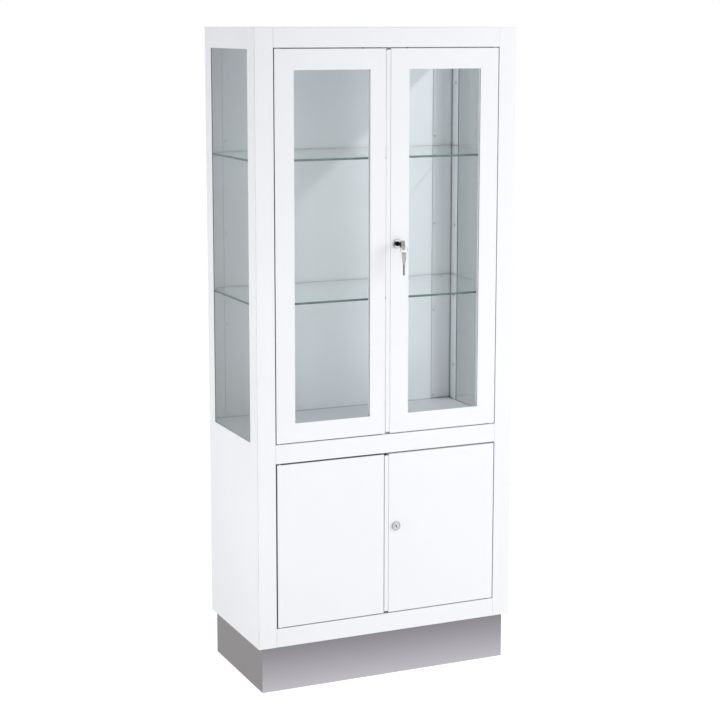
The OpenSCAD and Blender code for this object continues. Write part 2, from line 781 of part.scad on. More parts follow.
// A key hanging down: blade below, bow above, the hole for the ring at the origin
module key() {
    bow_x = bow_w / 2;
    root_z = bow_hole_in - bow_l;
    wide_z = bow_hole_in - bow_l * 0.45;
    translate([-key_t / 2, 0, 0]) rotate([90, 0, 90]) difference() {
        union() {
            linear_extrude(key_t) polygon(concat(
                corner(bow_x - bow_corner, bow_hole_in - bow_corner, 0),
                corner(bow_corner - bow_x, bow_hole_in - bow_corner, 90),
                [[-bow_x, wide_z], [-bow_root_w / 2, root_z],
                [bow_root_w / 2, root_z], [bow_x, wide_z]]));
            block([-blade_w / 2, root_z - blade_l, 0], [blade_w / 2, root_z + cut, key_t]);
        }
        translate([0, 0, -cut]) cylinder(r = bow_hole_r, h = key_t + 2 * cut);
        for (i = [0:3]) translate([blade_w / 2 + 0.3, root_z - blade_l * 0.45 - i * 4.2, -cut])
            cylinder(r = 1.4, h = key_t + 2 * cut);
    }
}

module upper_lock_barrel() color(chrome) placed() lock_barrel(upper_lock_z);
module upper_lock_nut() color(steel) placed() lock_nut(upper_lock_z);
module upper_lock_plug() color(chrome) placed() lock_plug(upper_lock_z, upper_slot_turn);
module upper_lock_cam() color(steel) placed() lock_cam(upper_lock_z);
module upper_cam_screw() color(steel) placed() cam_screw(upper_lock_z);
module lower_lock_barrel() color(chrome) placed() lock_barrel(lower_lock_z);
module lower_lock_nut() color(steel) placed() lock_nut(lower_lock_z);
module lower_lock_plug() color(chrome) placed() lock_plug(lower_lock_z, lower_slot_turn);
module lower_lock_cam() color(steel) placed() lock_cam(lower_lock_z);
module lower_cam_screw() color(steel) placed() cam_screw(lower_lock_z);

// The key in the upper lock lies along Y with its blade in the plug
module door_key() color(steel) placed() translate([lock_x, hole_y, upper_lock_z])
    rotate([0, -upper_slot_turn, 0]) rotate([90, 0, 0]) key();

module key_ring() color(chrome) placed()
    translate([lock_x, hole_y, wire_top_z - split_ring_r]) rotate([90, 0, 0])
    rotate_extrude() translate([split_ring_r, 0]) circle(r = wire_r);

module spare_key() color(steel) placed() translate([lock_x, hole_y, spare_hole_z]) key();

// Bolt on the back of a left door, drawn pointing up with the door's end at Z = 0
module bolt() {
    rod_z([0, 0, -bolt_end - bolt_l], bolt_r, bolt_l);
    rod_y([0, 0, thumb_z], thumb_r, thumb_l);
}

thumb_z = -guide_from_end - guide_l / 2 - bolt_travel / 2;

module bolt_guide() difference() {
    block([-guide_w / 2, door_t - bolt_y, -guide_from_end - guide_l],
        [guide_w / 2, guide_h, -guide_from_end]);
    rod_z([0, 0, -guide_from_end - guide_l - cut], bolt_r + bolt_fit, guide_l + 2 * cut);
    for (z = [thumb_z, thumb_z + bolt_travel])
        rod_y([0, 0, z], thumb_r + 2 * hole_fit, guide_h + cut);
    block([-thumb_r - 2 * hole_fit, 0, thumb_z],
        [thumb_r + 2 * hole_fit, guide_h + cut, thumb_z + bolt_travel]);
}

module at_head(leaf) {
    translate([bolt_x, bolt_y, leaf[3]]) children();
}

module at_foot(leaf) {
    translate([bolt_x, bolt_y, leaf[2]]) mirror([0, 0, 1]) children();
}

module upper_left_bolt_guides() color(steel) placed() {
    at_head(upper_left) bolt_guide();
    at_foot(upper_left) bolt_guide();
}
module lower_left_bolt_guides() color(steel) placed() {
    at_head(lower_left) bolt_guide();
    at_foot(lower_left) bolt_guide();
}
module upper_left_top_bolt() color(steel) placed() at_head(upper_left) bolt();
module upper_left_bottom_bolt() color(steel) placed() at_foot(upper_left) bolt();
module lower_left_top_bolt() color(steel) placed() at_head(lower_left) bolt();
module lower_left_bottom_bolt() color(steel) placed() at_foot(lower_left) bolt();

plinth();
base_panel();
left_side_panel();
right_side_panel();
top_panel();
back_panel();
top_rail();
middle_rail();
bottom_rail();
middle_deck();
left_side_glass();
right_side_glass();
left_glass_frame();
right_glass_frame();
upper_glass_shelf();
lower_glass_shelf();
steel_shelf();
shelf_pins();
shelf_sleeves();
pivot_pins();
door_buffers();
body_screws();
upper_left_door_shell();
upper_left_door_inner();
upper_left_door_glass();
upper_left_door_seal();
upper_left_door_bushes();
upper_left_bolt_guides();
upper_right_door_shell();
upper_right_door_inner();
upper_right_door_glass();
upper_right_door_seal();
upper_right_door_bushes();
upper_right_door_lip();
lower_left_door_shell();
lower_left_door_inner();
lower_left_door_bushes();
lower_left_bolt_guides();
lower_right_door_shell();
lower_right_door_inner();
lower_right_door_bushes();
lower_right_door_lip();
upper_lock_barrel();
upper_lock_nut();
upper_lock_plug();
upper_lock_cam();
upper_cam_screw();
lower_lock_barrel();
lower_lock_nut();
lower_lock_plug();
lower_lock_cam();
lower_cam_screw();
door_key();
key_ring();
spare_key();
upper_left_top_bolt();
upper_left_bottom_bolt();
lower_left_top_bolt();
lower_left_bottom_bolt();
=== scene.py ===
import json
import math

import bmesh
import bpy
from mathutils import Matrix, Vector


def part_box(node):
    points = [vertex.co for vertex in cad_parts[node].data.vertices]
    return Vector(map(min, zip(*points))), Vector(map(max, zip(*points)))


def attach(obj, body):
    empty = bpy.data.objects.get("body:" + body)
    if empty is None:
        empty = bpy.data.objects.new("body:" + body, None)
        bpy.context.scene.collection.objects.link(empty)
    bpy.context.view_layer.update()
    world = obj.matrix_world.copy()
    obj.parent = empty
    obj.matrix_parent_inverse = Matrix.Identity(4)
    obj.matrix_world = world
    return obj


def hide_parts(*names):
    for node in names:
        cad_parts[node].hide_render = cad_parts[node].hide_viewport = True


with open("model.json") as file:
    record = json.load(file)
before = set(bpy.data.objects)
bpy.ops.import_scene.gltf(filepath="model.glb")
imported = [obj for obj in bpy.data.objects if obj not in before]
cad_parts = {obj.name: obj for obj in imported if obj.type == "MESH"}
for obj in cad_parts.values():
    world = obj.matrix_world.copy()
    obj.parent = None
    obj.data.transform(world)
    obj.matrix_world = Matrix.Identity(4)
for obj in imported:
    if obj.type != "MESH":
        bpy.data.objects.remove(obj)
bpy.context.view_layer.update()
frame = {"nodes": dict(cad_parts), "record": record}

record = frame["record"]
nodeBody = {node: body for body, nodes in record["behaviour"]["bodies"].items() for node in nodes}
scene = bpy.context.scene
mm = 0.001
print("cabinet: frame loaded with", len(nodeBody), "nodes")


# helpers for node trees

def addNode(tree, kind, inputs=None, **settings):
    node = tree.nodes.new(kind)
    for key, value in settings.items():
        setattr(node, key, value)
    for key, value in (inputs or {}).items():
        node.inputs[key].default_value = value
    return node


def reckon(tree, operation, *values):
    # a math node on other nodes' outputs and plain numbers
    node = addNode(tree, "ShaderNodeMath", operation=operation)
    for socket, value in zip(node.inputs, values):
        if isinstance(value, (int, float)):
            socket.default_value = value
        else:
            tree.links.new(value, socket)
    return node.outputs[0]


def between(tree, fac, low, high, fromLow=0.3, fromHigh=0.7):
    remap = addNode(tree, "ShaderNodeMapRange", {"From Min": fromLow, "From Max": fromHigh,
                                                 "To Min": low, "To Max": high})
    tree.links.new(fac, remap.inputs["Value"])
    return remap.outputs["Result"]


def mixColours(tree, fac, first, second):
    mix = addNode(tree, "ShaderNodeMix", data_type="RGBA")
    tree.links.new(fac, mix.inputs["Factor"])
    for socket, value in ((mix.inputs[6], first), (mix.inputs[7], second)):
        if isinstance(value, tuple):
            socket.default_value = (*value, 1)
        else:
            tree.links.new(value, socket)
    return mix.outputs[2]


def mixShaders(tree, fac, first, second):
    mix = addNode(tree, "ShaderNodeMixShader")
    for socket, value in zip(mix.inputs, (fac, first, second)):
        tree.links.new(value, socket)
    return mix.outputs[0]


def placeAlong(tree, axis):
    place = addNode(tree, "ShaderNodeTexCoord")
    split = addNode(tree, "ShaderNodeSeparateXYZ")
    tree.links.new(place.outputs["Object"], split.inputs[0])
    return split.outputs[axis]


def noiseOn(tree, scale, detail=3.0, stretch=(1, 1, 1)):
    # noise on the piece's own place in metres, stretched along the grain where there is one
    place = addNode(tree, "ShaderNodeTexCoord")
    mapping = addNode(tree, "ShaderNodeMapping", {"Scale": stretch})
    noise = addNode(tree, "ShaderNodeTexNoise", {"Scale": scale, "Detail": detail})
    tree.links.new(place.outputs["Object"], mapping.inputs["Vector"])
    tree.links.new(mapping.outputs["Vector"], noise.inputs["Vector"])
    return noise.outputs["Fac"]


def twoTone(tree, fac, look, reach=0.15):
    # the deep tone gives way to the pale one round the middle of the noise
    ramp = addNode(tree, "ShaderNodeValToRGB")
    deepEnd, paleEnd = ramp.color_ramp.elements
    deepEnd.position, deepEnd.color = 0.5 - reach, (*look["deep"], 1)
    paleEnd.position, paleEnd.color = 0.5 + reach, (*look["pale"], 1)
    tree.links.new(fac, ramp.inputs["Fac"])
    return ramp.outputs["Color"]


def startMaterial(name):
    mat = bpy.data.materials.new(name)
    mat.use_nodes = True
    return mat, mat.node_tree, mat.node_tree.nodes["Principled BSDF"]


def dress(tree, shader, colour, fac, look):
    tree.links.new(colour, shader.inputs["Base Color"])
    tree.links.new(between(tree, fac, *look["roughness"]), shader.inputs["Roughness"])


def roughen(tree, shader, fac, look):
    bump = addNode(tree, "ShaderNodeBump", {"Strength": look["bump"], "Distance": look["depth"]})
    tree.links.new(fac, bump.inputs["Height"])
    tree.links.new(bump.outputs["Normal"], shader.inputs["Normal"])


def setSurface(tree, surface):
    tree.links.new(surface, tree.nodes["Material Output"].inputs["Surface"])


# finishes: for each kind the values all its finishes share, then what each changes

# the dark coat colour is painted shade, laid into narrow seams and corners over the given reach and
# depth
coatLook = {"pale": (0.930, 0.936, 0.948), "deep": (0.912, 0.919, 0.933),
            "seam": (0.18, 0.18, 0.205), "seamReach": 0.004, "seamDepth": (0.12, 0.88),
            "cloud": (2.6, 4.0), "peel": (420.0, 2.0), "bump": 0.15, "depth": 0.000012,
            "roughness": (0.34, 0.46)}
# the variants paint more or less shade into their seams and corners; the fold variant paints a grey
# line of shade
coats = {"whiteCoat": {},
         "whiteCoatCorner": {"seamReach": 0.010, "seamDepth": (0.42, 0.85),
                             "seam": (0.14, 0.14, 0.165)},
         "whiteCoatFold": {"pale": (0.42, 0.42, 0.45), "deep": (0.36, 0.36, 0.39)},
         "whiteCoatDeepSeams": {"seamReach": 0.011, "seamDepth": (0.06, 0.75),
                                "seam": (0.04, 0.04, 0.05)},
         "whiteCoatPaleSeams": {"seamReach": 0.011, "seamDepth": (0.0, 0.10)}}


def makeWhiteCoat(name, look):
    mat, tree, shader = startMaterial(name)
    cloud = noiseOn(tree, *look["cloud"])
    peel = noiseOn(tree, *look["peel"])
    # little light gets back out of the narrow seams between the pieces
    seam = addNode(tree, "ShaderNodeAmbientOcclusion", {"Distance": look["seamReach"]}, samples=8)
    lit = between(tree, seam.outputs["AO"], 0.0, 1.0, *look["seamDepth"])
    colour = mixColours(tree, lit, look["seam"], twoTone(tree, cloud, look))
    dress(tree, shader, colour, cloud, look)
    roughen(tree, shader, peel, look)
    return mat


brushedLook = {"pale": (0.600, 0.580, 0.635), "deep": (0.580, 0.560, 0.613),
               "grain": (12.0, 12.0, 1600.0), "cloud": 5.0, "cloudShare": 0.3, "bump": 0.12,
               "depth": 0.00002, "roughness": (0.22, 0.26)}


def makeBrushedSteel(name, look):
    mat, tree, shader = startMaterial(name)
    grain = noiseOn(tree, 1.0, stretch=look["grain"])
    cloud = reckon(tree, "MULTIPLY", noiseOn(tree, look["cloud"]), look["cloudShare"])
    both = reckon(tree, "MULTIPLY_ADD", grain, 1 - look["cloudShare"], cloud)
    dress(tree, shader, twoTone(tree, both, look, 0.12), grain, look)
    roughen(tree, shader, grain, look)
    shader.inputs["Metallic"].default_value = 1.0
    return mat


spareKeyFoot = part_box("spare_key")[0].z

metalLook = {"fine": 900.0, "cloud": (60.0, 4.0), "bump": 0.15, "depth": 0.00002}
metals = {"zincSteel": {"pale": (0.72, 0.72, 0.71), "deep": (0.60, 0.60, 0.60),
                        "roughness": (0.28, 0.42)},
          "lockChrome": {"pale": (0.80, 0.80, 0.82), "deep": (0.72, 0.72, 0.74),
                         "roughness": (0.10, 0.20)},
          # painted shade and dark reflection on the upper plug, round the key in it
          "plugDark": {"pale": (0.075, 0.075, 0.08), "deep": (0.04, 0.04, 0.045),
                       "roughness": (0.22, 0.32)},
          # painted shade in the lower plug's keyway
          "keywayDark": {"pale": (0.05, 0.05, 0.055), "deep": (0.03, 0.03, 0.035),
                         "roughness": (0.4, 0.5)},
          # painted shade and dark reflection: the door key darkens at its neck, towards the lock
          "lockedKey": {"pale": (0.56, 0.55, 0.52), "deep": (0.44, 0.43, 0.41),
                        "roughness": (0.26, 0.40),
                        "darkening": ("Y", -0.209, -0.199, (0.03, 0.03, 0.033))},
          "spareKey": {"pale": (0.66, 0.64, 0.59), "deep": (0.54, 0.52, 0.48),
                       "roughness": (0.26, 0.40),
                       "darkening": ("Z", spareKeyFoot + 0.0335, spareKeyFoot + 0.029,
                                (0.30, 0.285, 0.26))}}


def makeMetal(name, look):
    mat, tree, shader = startMaterial(name)
    fine = noiseOn(tree, look["fine"])
    cloud = noiseOn(tree, *look["cloud"])
    colour = twoTone(tree, cloud, look)
    if "darkening" in look:
        # darkens along one direction, from the first place to the second
        axis, start, end, dark = look["darkening"]
        darkening = between(tree, placeAlong(tree, axis), 0.0, 1.0, start, end)
        colour = mixColours(tree, darkening, colour, dark)
    dress(tree, shader, colour, cloud, look)
    roughen(tree, shader, fine, look)
    shader.inputs["Metallic"].default_value = 1.0
    return mat


softLook = {"fine": 400.0, "cloud": 40.0, "bump": 0.25, "depth": 0.00005}
softs = {"sealRubber": {"pale": (0.045, 0.047, 0.05), "deep": (0.03, 0.032, 0.035),
                        "roughness": (0.5, 0.7)},
         "whiteNylon": {"pale": (0.86, 0.86, 0.84), "deep": (0.80, 0.80, 0.78),
                        "roughness": (0.35, 0.5)}}


def makeSoft(name, look):
    mat, tree, shader = startMaterial(name)
    fine = noiseOn(tree, look["fine"])
    cloud = noiseOn(tree, look["cloud"])
    dress(tree, shader, twoTone(tree, cloud, look), fine, look)
    roughen(tree, shader, fine, look)
    return mat


glassLook = {"smear": (7.0, 4.0), "smearDepth": 0.985, "ior": 1.45, "roughness": (0.0, 0.01)}
glasses = {"doorGlass": {"pale": (0.950, 0.971, 0.979), "shadow": (0.89, 0.905, 0.912)},
           "sideGlass": {"pale": (0.835, 0.862, 0.872), "shadow": (0.87, 0.885, 0.89)},
           "shelfGlass": {"pale": (0.955, 0.982, 0.974), "shadow": (0.975, 0.985, 0.98)}}


def makeGlass(name, look):
    # clear pane: light from the lamps passes it, so that the inside is lit
    mat, tree, shader = startMaterial(name)
    smear = noiseOn(tree, *look["smear"])
    tones = {"pale": look["pale"], "deep": tuple(c * look["smearDepth"] for c in look["pale"])}
    dress(tree, shader, twoTone(tree, smear, tones, 0.2), smear, look)
    shader.inputs["Transmission Weight"].default_value = 1.0
    shader.inputs["IOR"].default_value = look["ior"]
    ray = addNode(tree, "ShaderNodeLightPath")
    passes = reckon(tree, "MAXIMUM", ray.outputs["Is Shadow Ray"], ray.outputs["Is Diffuse Ray"])
    through = addNode(tree, "ShaderNodeBsdfTransparent", {"Color": (*look["shadow"], 1)})
    setSurface(tree, mixShaders(tree, passes, shader.outputs[0], through.outputs[0]))
    return mat


glassEdgeLook = {"streak": (60, 60, 900), "clear": 0.25, "ior": 1.45, "roughness": (0.12, 0.3)}
glassEdges = {"shelfEdge": {"pale": (0.30, 0.42, 0.37), "deep": (0.14, 0.22, 0.19)},
              "paneEdge": {"pale": (0.42, 0.55, 0.50), "deep": (0.25, 0.36, 0.32)}}


def makeGlassEdge(name, look):
    mat, tree, shader = startMaterial(name)
    streak = noiseOn(tree, 1.0, stretch=look["streak"])
    dress(tree, shader, twoTone(tree, streak, look), streak, look)
    shader.inputs["Transmission Weight"].default_value = look["clear"]
    shader.inputs["IOR"].default_value = look["ior"]
    return mat


finishes = {}
for make, common, kinds in ((makeWhiteCoat, coatLook, coats),
                            (makeBrushedSteel, brushedLook, {"brushedPlinthSteel": {}}),
                            (makeMetal, metalLook, metals), (makeGlass, glassLook, glasses),
                            (makeGlassEdge, glassEdgeLook, glassEdges),
                            (makeSoft, softLook, softs)):
    for name, changes in kinds.items():
        finishes[name] = make(name, {**common, **changes})
print("cabinet:", len(finishes), "finishes made")


# making pieces from the nodes' own shapes

def settle(obj):
    # live modifiers become a plain mesh
    graph = bpy.context.evaluated_depsgraph_get()
    mesh = bpy.data.meshes.new_from_object(obj.evaluated_get(graph), depsgraph=graph)
    obj.modifiers.clear()
    obj.data = mesh
    return obj


def newPiece(name, mesh):
    obj = bpy.data.objects.new(name, mesh)
    scene.collection.objects.link(obj)
    return obj


def meshFrom(bm, name):
    mesh = bpy.data.meshes.new(name)
    bm.to_mesh(mesh)
    bm.free()
    return mesh


def mount(obj, node):
    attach(obj, nodeBody[node])
    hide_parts(node)


sheetLook = {"mergeWithin": 1e-6, "flatWithin": 0.4, "rimWidth": 1.6, "rimCorners": range(5, 13),
             "cornerFrom": 32, "foldWidth": 4.0, "broadFacing": 0.9}


def mergedNode(node):
    bm = bmesh.new()
    bm.from_mesh(frame["nodes"][node].data)
    bmesh.ops.remove_doubles(bm, verts=bm.verts, dist=sheetLook["mergeWithin"])
    return bm


def copyOf(node, look=sheetLook):
    bm = mergedNode(node)
    bmesh.ops.dissolve_limit(bm, angle_limit=math.radians(look["flatWithin"]), verts=bm.verts,
                             edges=bm.edges)
    # a sheet's rim that runs round a corner would fold over itself when bevelled
    halfRim = look["rimWidth"] * mm / 2
    rims = [face for face in bm.faces if len(face.verts) in look["rimCorners"]
            and face.calc_area() < halfRim * face.calc_perimeter()]
    bmesh.ops.connect_verts_concave(bm, faces=rims)
    return bm


def faceWidth(face, along):
    # how broad a face is, square to one of its edges
    across = face.normal.cross(along)
    reach = [vert.co.dot(across) for vert in face.verts]
    return max(reach) - min(reach)


def keepFlats(obj):
    # broad faces shade flat, only the rounded edges turn
    flats = obj.modifiers.new("flats", "WEIGHTED_NORMAL")
    flats.mode = "FACE_AREA"
    flats.weight = 100
    flats.keep_sharp = True


def roundedPiece(node, finish, foldRadius, cutRadius=0.25, segments=3, edgeFinish=None,
                 thin=None, look=sheetLook):
    # the node's shape with its folds and cut edges rounded, radii in mm
    bm = copyOf(node)
    weight = bm.edges.layers.float.new("bevel_weight_edge")
    for edge in bm.edges:
        if (len(edge.link_faces) != 2
                or edge.calc_face_angle(0) < math.radians(look["cornerFrom"])):
            continue
        along = (edge.verts[0].co - edge.verts[1].co).normalized()
        narrow = min(faceWidth(face, along) for face in edge.link_faces)
        fold = edge.is_convex and narrow > look["foldWidth"] * mm
        edge[weight] = 1.0 if fold else cutRadius / foldRadius
    mesh = meshFrom(bm, node)
    mesh.materials.append(finishes[finish])
    if edgeFinish:
        mesh.materials.append(finishes[edgeFinish])
        for face in mesh.polygons:
            face.material_index = 0 if abs(face.normal[thin]) > look["broadFacing"] else 1
    obj = newPiece(node + "_piece", mesh)
    bevel = obj.modifiers.new("edges", "BEVEL")
    bevel.limit_method = "WEIGHT"
    bevel.width = foldRadius * mm
    bevel.segments = segments
    bevel.use_clamp_overlap = True
    if segments > 1:
        mesh.shade_smooth()
        keepFlats(obj)
    mount(settle(obj), node)


def recoat(node, finish, wanted):
    # gives some faces of a piece a second finish, by their middle and the way they face
    mesh = bpy.data.objects[node + "_piece"].data
    mesh.materials.append(finishes[finish])
    for face in mesh.polygons:
        if wanted(face.center, face.normal):
            face.material_index = 1


bodyLook = {"foldRadius": 0.9, "foldLine": (-0.3989, -0.1729), "foldFacing": 0.995,
            "railTops": {"middle_rail": 0.715, "bottom_rail": 0.18},
            "finishes": {"plinth": "brushedPlinthSteel", "top_panel": "whiteCoat",
                         "back_panel": "whiteCoat", "base_panel": "whiteCoat",
                         "middle_deck": "whiteCoat", "steel_shelf": "whiteCoat",
                         "left_side_panel": "whiteCoat",
                         "right_side_panel": "whiteCoatPaleSeams", "top_rail": "whiteCoat",
                         "middle_rail": "whiteCoat", "bottom_rail": "whiteCoat",
                         "left_glass_frame": "whiteCoat", "right_glass_frame": "whiteCoat"}}


def makeBody(look=bodyLook):
    for node, finish in look["finishes"].items():
        roundedPiece(node, finish, look["foldRadius"])
    # painted shade: a fine grey line along the left side's front fold, darker than the lamps alone
    # make it
    outer, front = look["foldLine"]
    recoat("left_side_panel", "whiteCoatFold",
           lambda at, way: at.x < outer and at.y < front and abs(way.z) < 0.5
           and max(abs(way.x), abs(way.y)) < look["foldFacing"])
    # painted shade, reaching further, in the right side's rear corner where its return starts
    recoat("right_side_panel", "whiteCoatCorner", lambda at, way: at.y > 0)
    # light from the floor reaches the gaps below the doors
    for node, top in look["railTops"].items():
        recoat(node, "whiteCoatPaleSeams", lambda at, way: at.z > top)


# painted seam shade: deep on the left doors and the upper lip, faint on the right doors
doorLook = {"foldRadius": 1.1, "lipRadius": 0.6,
            "finishes": {"left": "whiteCoatDeepSeams", "right": "whiteCoatPaleSeams"},
            "lips": {"upper": "whiteCoatDeepSeams", "lower": "whiteCoat"}}


def makeDoors(look=doorLook):
    for height in ("upper", "lower"):
        for side, finish in look["finishes"].items():
            for part in ("shell", "inner"):
                roundedPiece(f"{height}_{side}_door_{part}", finish, look["foldRadius"])
        # the shell's downward faces get only faint painted seam shade, as light from the floor
        # reaches the gaps below the doors
        recoat(f"{height}_left_door_shell", "whiteCoatPaleSeams", lambda at, way: way.z < -0.5)
    for height, finish in look["lips"].items():
        roundedPiece(f"{height}_right_door_lip", finish, look["lipRadius"])


# each pane's clear and edge finish, the axis it is thin along and its edge radius
paneLook = {"upper_left_door_glass": ("doorGlass", "paneEdge", 1, 0.4),
            "upper_right_door_glass": ("doorGlass", "paneEdge", 1, 0.4),
            "left_side_glass": ("sideGlass", "paneEdge", 0, 0.4),
            "right_side_glass": ("sideGlass", "paneEdge", 0, 0.4),
            "upper_glass_shelf": ("shelfGlass", "shelfEdge", 2, 0.8),
            "lower_glass_shelf": ("shelfGlass", "shelfEdge", 2, 0.8)}


def makePanes(look=paneLook):
    for node, (finish, edgeFinish, thin, radius) in look.items():
        roundedPiece(node, finish, radius, segments=1, edgeFinish=edgeFinish, thin=thin)


hardwareLook = {"radii": (0.3, 0.15), "segments": 2,
                "finishes": {"zincSteel": ["upper_left_bolt_guides", "lower_left_bolt_guides",
                                           "upper_left_top_bolt", "upper_left_bottom_bolt",
                                           "lower_left_top_bolt", "lower_left_bottom_bolt",
                                           "upper_lock_cam", "lower_lock_cam", "upper_lock_nut",
                                           "lower_lock_nut", "upper_cam_screw",
                                           "lower_cam_screw"],
                             # the upper plug's finish is painted shade and dark reflection
                             "plugDark": ["upper_lock_plug"],
                             "sealRubber": ["upper_left_door_seal", "upper_right_door_seal"]}}


def makeHardware(look=hardwareLook):
    for finish, nodes in look["finishes"].items():
        for node in nodes:
            roundedPiece(node, finish, *look["radii"], look["segments"])
    # the lower plug's keyway walls carry painted shade
    roundedPiece("lower_lock_plug", "lockChrome", *look["radii"], look["segments"],
                 edgeFinish="keywayDark", thin=1)


makeBody()
makeDoors()
makePanes()
makeHardware()
print("cabinet: pieces rounded and dressed")


# turned parts, set on their places by geometry nodes

def smoothMesh(bm, name, sharp=32):
    mesh = meshFrom(bm, name)
    mesh.shade_smooth()
    mesh.set_sharp_from_angle(angle=math.radians(sharp))
    return mesh


def turned(profile, name, steps=24, closed=False, sharp=32):
    # a turned part round Z, from (radius, height) pairs in mm
    bm = bmesh.new()
    rings = []
    for radius, height in profile:
        turns = [2 * math.pi * i / steps for i in range(steps if radius else 1)]
        rings.append([bm.verts.new((radius * mm * math.cos(turn), radius * mm * math.sin(turn),
                                    height * mm)) for turn in turns])
    pairs = list(zip(rings, rings[1:])) + ([(rings[-1], rings[0])] if closed else [])
    for low, high in pairs:
        for i in range(steps):
            corners = dict.fromkeys([low[i % len(low)], low[(i + 1) % len(low)],
                                     high[(i + 1) % len(high)], high[i % len(high)]])
            if len(corners) > 2:
                bm.faces.new(list(corners))
    bmesh.ops.recalc_face_normals(bm, faces=bm.faces)
    return smoothMesh(bm, name, sharp)


def prism(outline, low, high, name, place=Matrix.Identity(4)):
    # an outline in Y and Z, thick along X, in mm
    bm = bmesh.new()
    sides = [[bm.verts.new((x * mm, y * mm, z * mm)) for y, z in outline] for x in (low, high)]
    for side in sides:
        bm.faces.new(side)
    for i in range(len(outline)):
        j = (i + 1) % len(outline)
        bm.faces.new([sides[0][i], sides[0][j], sides[1][j], sides[1][i]])
    bmesh.ops.recalc_face_normals(bm, faces=bm.faces)
    bm.transform(place)
    return meshFrom(bm, name)


def carve(obj, cutters):
    tools = [newPiece(f"{obj.name}Cutter{i}", cutter) for i, cutter in enumerate(cutters)]
    for tool in tools:
        cut = obj.modifiers.new("cut", "BOOLEAN")
        cut.operation = "DIFFERENCE"
        cut.solver = "EXACT"
        cut.object = tool
    settle(obj)
    for tool in tools:
        bpy.data.objects.remove(tool)
    return obj


def takeMesh(obj):
    mesh = obj.data
    bpy.data.objects.remove(obj)
    return mesh


def startTree(name, sockets):
    tree = bpy.data.node_groups.new(name, "GeometryNodeTree")
    tree.interface.new_socket("Geometry", in_out="INPUT", socket_type="NodeSocketGeometry")
    for label, (kind, value) in sockets.items():
        socket = tree.interface.new_socket(label, in_out="INPUT", socket_type="NodeSocket" + kind)
        if value is not None:
            socket.default_value = value
    tree.interface.new_socket("Finish", in_out="INPUT", socket_type="NodeSocketMaterial")
    tree.interface.new_socket("Geometry", in_out="OUTPUT", socket_type="NodeSocketGeometry")
    return tree, tree.nodes.new("NodeGroupInput"), tree.nodes.new("NodeGroupOutput")


def endTree(tree, start, end, last):
    real = addNode(tree, "GeometryNodeRealizeInstances")
    painted = addNode(tree, "GeometryNodeSetMaterial")
    tree.links.new(last, real.inputs["Geometry"])
    tree.links.new(real.outputs["Geometry"], painted.inputs["Geometry"])
    tree.links.new(start.outputs["Finish"], painted.inputs["Material"])
    tree.links.new(painted.outputs["Geometry"], end.inputs["Geometry"])
    return tree


def grow(tree, mesh, values):
    # runs a tree on a mesh and gives back a plain mesh
    obj = newPiece("growing", mesh)
    modifier = obj.modifiers.new("grow", "NODES")
    modifier.node_group = tree
    for item in tree.interface.items_tree:
        if item.in_out == "INPUT" and item.name in values:
            modifier[item.identifier] = values[item.name]
    return takeMesh(settle(obj))


turnSeed = 7  # for the chance turn of each screw


def makeSetTree():
    tree, start, end = startTree("setOnPlaces", {"Part": ("Object", None), "Turn": ("Float", 0.0),
                                                 "Seed": ("Int", turnSeed)})
    facing = addNode(tree, "GeometryNodeInputNamedAttribute", {"Name": "facing"},
                     data_type="FLOAT_VECTOR")
    stretch = addNode(tree, "GeometryNodeInputNamedAttribute", {"Name": "stretch"},
                      data_type="FLOAT")
    aim = addNode(tree, "FunctionNodeAlignRotationToVector", axis="Z")
    tree.links.new(facing.outputs[0], aim.inputs["Vector"])
    chance = addNode(tree, "FunctionNodeRandomValue", data_type="FLOAT")
    tree.links.new(reckon(tree, "MULTIPLY", start.outputs["Turn"], -1.0), chance.inputs[2])
    tree.links.new(start.outputs["Turn"], chance.inputs[3])
    tree.links.new(start.outputs["Seed"], chance.inputs["Seed"])
    angles = addNode(tree, "ShaderNodeCombineXYZ")
    tree.links.new(chance.outputs[1], angles.inputs["Z"])
    turn = addNode(tree, "FunctionNodeEulerToRotation")
    tree.links.new(angles.outputs[0], turn.inputs[0])
    both = addNode(tree, "FunctionNodeRotateRotation", rotation_space="LOCAL")
    tree.links.new(aim.outputs[0], both.inputs["Rotation"])
    tree.links.new(turn.outputs[0], both.inputs["Rotate By"])
    size = addNode(tree, "ShaderNodeCombineXYZ", {"X": 1.0, "Y": 1.0})
    tree.links.new(stretch.outputs[0], size.inputs["Z"])
    part = addNode(tree, "GeometryNodeObjectInfo")
    tree.links.new(start.outputs["Part"], part.inputs["Object"])
    onPoints = addNode(tree, "GeometryNodeInstanceOnPoints")
    tree.links.new(start.outputs["Geometry"], onPoints.inputs["Points"])
    tree.links.new(part.outputs["Geometry"], onPoints.inputs["Instance"])
    tree.links.new(both.outputs[0], onPoints.inputs["Rotation"])
    tree.links.new(size.outputs[0], onPoints.inputs["Scale"])
    return endTree(tree, start, end, onPoints.outputs["Instances"])


def islandsOf(node):
    # the box and the points of each separate solid of a node, in a fixed order
    bm = mergedNode(node)
    bm.verts.index_update()
    seen = [False] * len(bm.verts)
    found = []
    for first in bm.verts:
        if seen[first.index]:
            continue
        seen[first.index] = True
        group, waiting = [], [first]
        while waiting:
            vert = waiting.pop()
            group.append(vert.co.copy())
            for edge in vert.link_edges:
                other = edge.other_vert(vert)
                if not seen[other.index]:
                    seen[other.index] = True
                    waiting.append(other)
        low = Vector(min(point[i] for point in group) for i in range(3))
        high = Vector(max(point[i] for point in group) for i in range(3))
        found.append((low, high, group))
    bm.free()
    return sorted(found, key=lambda island: [round(v, 5) for v in island[0]])


